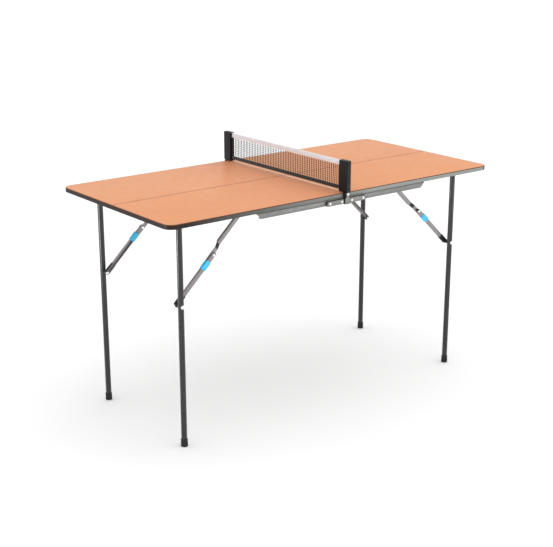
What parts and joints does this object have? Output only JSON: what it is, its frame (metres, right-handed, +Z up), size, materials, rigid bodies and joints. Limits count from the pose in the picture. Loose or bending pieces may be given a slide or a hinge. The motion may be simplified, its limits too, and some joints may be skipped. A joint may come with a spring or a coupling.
{
  "type": "folding table tennis table",
  "caption": "Compact folding table tennis table: half tops on grey steel rails, slim tubular legs that fold inward on jointed stays with sliding blue collars, and a net between black posts.",
  "frame": {"origin": "on the floor under the centre of the table", "axes": "+X along the playing length, +Y across the table towards its back edge, +Z up"},
  "size_m": [1.364, 0.68, 0.866],
  "materials": {
    "top": "smooth painted wood-fibre board, satin",
    "edge_band": "dark moulded edge band",
    "frame_paint": "grey powder coat",
    "stay_paint": "grey powder coat, lightly worn",
    "hinge_steel": "plain zinc-plated steel",
    "hinge_block": "black moulded plastic",
    "leg_tube": "dark grey gloss tube",
    "foot_rubber": "black rubber",
    "bright_steel": "bright rivet and screw heads",
    "collar_plastic": "sky blue moulded plastic",
    "post_plastic": "black moulded plastic",
    "net_cloth": "fine dark knotless net",
    "top_tape": "white woven tape",
    "bottom_tape": "black woven tape"
  },
  "bodies": {
    "table_top": {"board_left": "top", "edge_band_left": "edge_band", "board_right": "top", "edge_band_right": "edge_band", "side_rail_front_left": "frame_paint", "hinge_leaf_front_left": "hinge_steel", "hinge_block_front_left": "hinge_block", "pivot_saddle_front_left": "frame_paint", "stay_bracket_front_left": "frame_paint", "side_rail_back_left": "frame_paint", "hinge_leaf_back_left": "hinge_steel", "hinge_block_back_left": "hinge_block", "pivot_saddle_back_left": "frame_paint", "stay_bracket_back_left": "frame_paint", "side_rail_front_right": "frame_paint", "hinge_leaf_front_right": "hinge_steel", "hinge_block_front_right": "hinge_block", "pivot_saddle_front_right": "frame_paint", "stay_bracket_front_right": "frame_paint", "side_rail_back_right": "frame_paint", "hinge_leaf_back_right": "hinge_steel", "hinge_block_back_right": "hinge_block", "pivot_saddle_back_right": "frame_paint", "stay_bracket_back_right": "frame_paint", "post_bracket_front": "hinge_steel", "post_screw_front": "bright_steel", "post_bracket_back": "hinge_steel", "post_screw_back": "bright_steel"},
    "legs_left": {"cross_tube_left": "leg_tube", "leg_tube_front_left": "leg_tube", "leg_foot_front_left": "foot_rubber", "leg_bolt_front_left": "bright_steel", "leg_tube_back_left": "leg_tube", "leg_foot_back_left": "foot_rubber", "leg_bolt_back_left": "bright_steel"},
    "legs_right": {"cross_tube_right": "leg_tube", "leg_tube_front_right": "leg_tube", "leg_foot_front_right": "foot_rubber", "leg_bolt_front_right": "bright_steel", "leg_tube_back_right": "leg_tube", "leg_foot_back_right": "foot_rubber", "leg_bolt_back_right": "bright_steel"},
    "net_set": {"net_mesh": "net_cloth", "net_top_tape": "top_tape", "net_bottom_tape": "bottom_tape", "net_post_front": "post_plastic", "net_post_back": "post_plastic"},
    "stay_upper_front_left": {"stay_upper_front_left": "stay_paint"},
    "stay_lower_front_left": {"stay_lower_front_left": "stay_paint"},
    "collar_front_left": {"lock_collar_front_left": "collar_plastic"},
    "stay_upper_back_left": {"stay_upper_back_left": "stay_paint"},
    "stay_lower_back_left": {"stay_lower_back_left": "stay_paint"},
    "collar_back_left": {"lock_collar_back_left": "collar_plastic"},
    "stay_upper_front_right": {"stay_upper_front_right": "stay_paint"},
    "stay_lower_front_right": {"stay_lower_front_right": "stay_paint"},
    "collar_front_right": {"lock_collar_front_right": "collar_plastic"},
    "stay_upper_back_right": {"stay_upper_back_right": "stay_paint"},
    "stay_lower_back_right": {"stay_lower_back_right": "stay_paint"},
    "collar_back_right": {"lock_collar_back_right": "collar_plastic"}
  },
  "joints": [
    {"name": "leg_fold_left", "type": "hinge", "parent": "table_top", "child": "legs_left", "pos_m": [-0.59, 0, 0.732], "axis": [0, -1, 0], "range_deg": [0, 90]},
    {"name": "leg_fold_right", "type": "hinge", "parent": "table_top", "child": "legs_right", "pos_m": [0.59, 0, 0.732], "axis": [0, 1, 0], "range_deg": [0, 87]},
    {"name": "net_lift", "type": "slide", "parent": "table_top", "child": "net_set", "axis": [0, 0, 1], "range_m": [0, 0.08]},
    {"name": "stay_hinge_front_left", "type": "hinge", "parent": "table_top", "child": "stay_upper_front_left", "pos_m": [-0.31583, -0.1949, 0.732], "axis": [0, -1, 0], "range_deg": [0, 136.3]},
    {"name": "stay_knee_front_left", "type": "hinge", "parent": "stay_upper_front_left", "child": "stay_lower_front_left", "pos_m": [-0.44852, -0.21, 0.6052], "axis": [0, 1, 0], "range_deg": [0, 180]},
    {"name": "collar_slide_front_left", "type": "slide", "parent": "stay_lower_front_left", "child": "collar_front_left", "axis": [-0.723, 0, -0.6909], "range_m": [0, 0.04]},
    {"name": "stay_hinge_back_left", "type": "hinge", "parent": "table_top", "child": "stay_upper_back_left", "pos_m": [-0.31583, 0.1949, 0.732], "axis": [0, -1, 0], "range_deg": [0, 136.3]},
    {"name": "stay_knee_back_left", "type": "hinge", "parent": "stay_upper_back_left", "child": "stay_lower_back_left", "pos_m": [-0.44852, 0.21, 0.6052], "axis": [0, 1, 0], "range_deg": [0, 180]},
    {"name": "collar_slide_back_left", "type": "slide", "parent": "stay_lower_back_left", "child": "collar_back_left", "axis": [-0.723, 0, -0.6909], "range_m": [0, 0.04]},
    {"name": "stay_hinge_front_right", "type": "hinge", "parent": "table_top", "child": "stay_upper_front_right", "pos_m": [0.31583, -0.1949, 0.732], "axis": [0, 1, 0], "range_deg": [0, 132.7]},
    {"name": "stay_knee_front_right", "type": "hinge", "parent": "stay_upper_front_right", "child": "stay_lower_front_right", "pos_m": [0.44852, -0.21, 0.6052], "axis": [0, -1, 0], "range_deg": [0, 175.8]},
    {"name": "collar_slide_front_right", "type": "slide", "parent": "stay_lower_front_right", "child": "collar_front_right", "axis": [0.723, 0, -0.6909], "range_m": [0, 0.04]},
    {"name": "stay_hinge_back_right", "type": "hinge", "parent": "table_top", "child": "stay_upper_back_right", "pos_m": [0.31583, 0.1949, 0.732], "axis": [0, 1, 0], "range_deg": [0, 132.7]},
    {"name": "stay_knee_back_right", "type": "hinge", "parent": "stay_upper_back_right", "child": "stay_lower_back_right", "pos_m": [0.44852, 0.21, 0.6052], "axis": [0, -1, 0], "range_deg": [0, 175.8]},
    {"name": "collar_slide_back_right", "type": "slide", "parent": "stay_lower_back_right", "child": "collar_back_right", "axis": [0.723, 0, -0.6909], "range_m": [0, 0.04]}
  ],
  "couplings": [
    {"joint": "stay_hinge_front_left", "follows": "leg_fold_left", "ratio": 1.5144},
    {"joint": "stay_knee_front_left", "follows": "leg_fold_left", "ratio": 2},
    {"joint": "collar_slide_front_left", "follows": "leg_fold_left", "m_per_rad": 0.02546},
    {"joint": "stay_hinge_back_left", "follows": "leg_fold_left", "ratio": 1.5144},
    {"joint": "stay_knee_back_left", "follows": "leg_fold_left", "ratio": 2},
    {"joint": "collar_slide_back_left", "follows": "leg_fold_left", "m_per_rad": 0.02546},
    {"joint": "stay_hinge_front_right", "follows": "leg_fold_right", "ratio": 1.5248},
    {"joint": "stay_knee_front_right", "follows": "leg_fold_right", "ratio": 2.0202},
    {"joint": "collar_slide_front_right", "follows": "leg_fold_right", "m_per_rad": 0.02634},
    {"joint": "stay_hinge_back_right", "follows": "leg_fold_right", "ratio": 1.5248},
    {"joint": "stay_knee_back_right", "follows": "leg_fold_right", "ratio": 2.0202},
    {"joint": "collar_slide_back_right", "follows": "leg_fold_right", "m_per_rad": 0.02634}
  ]
}
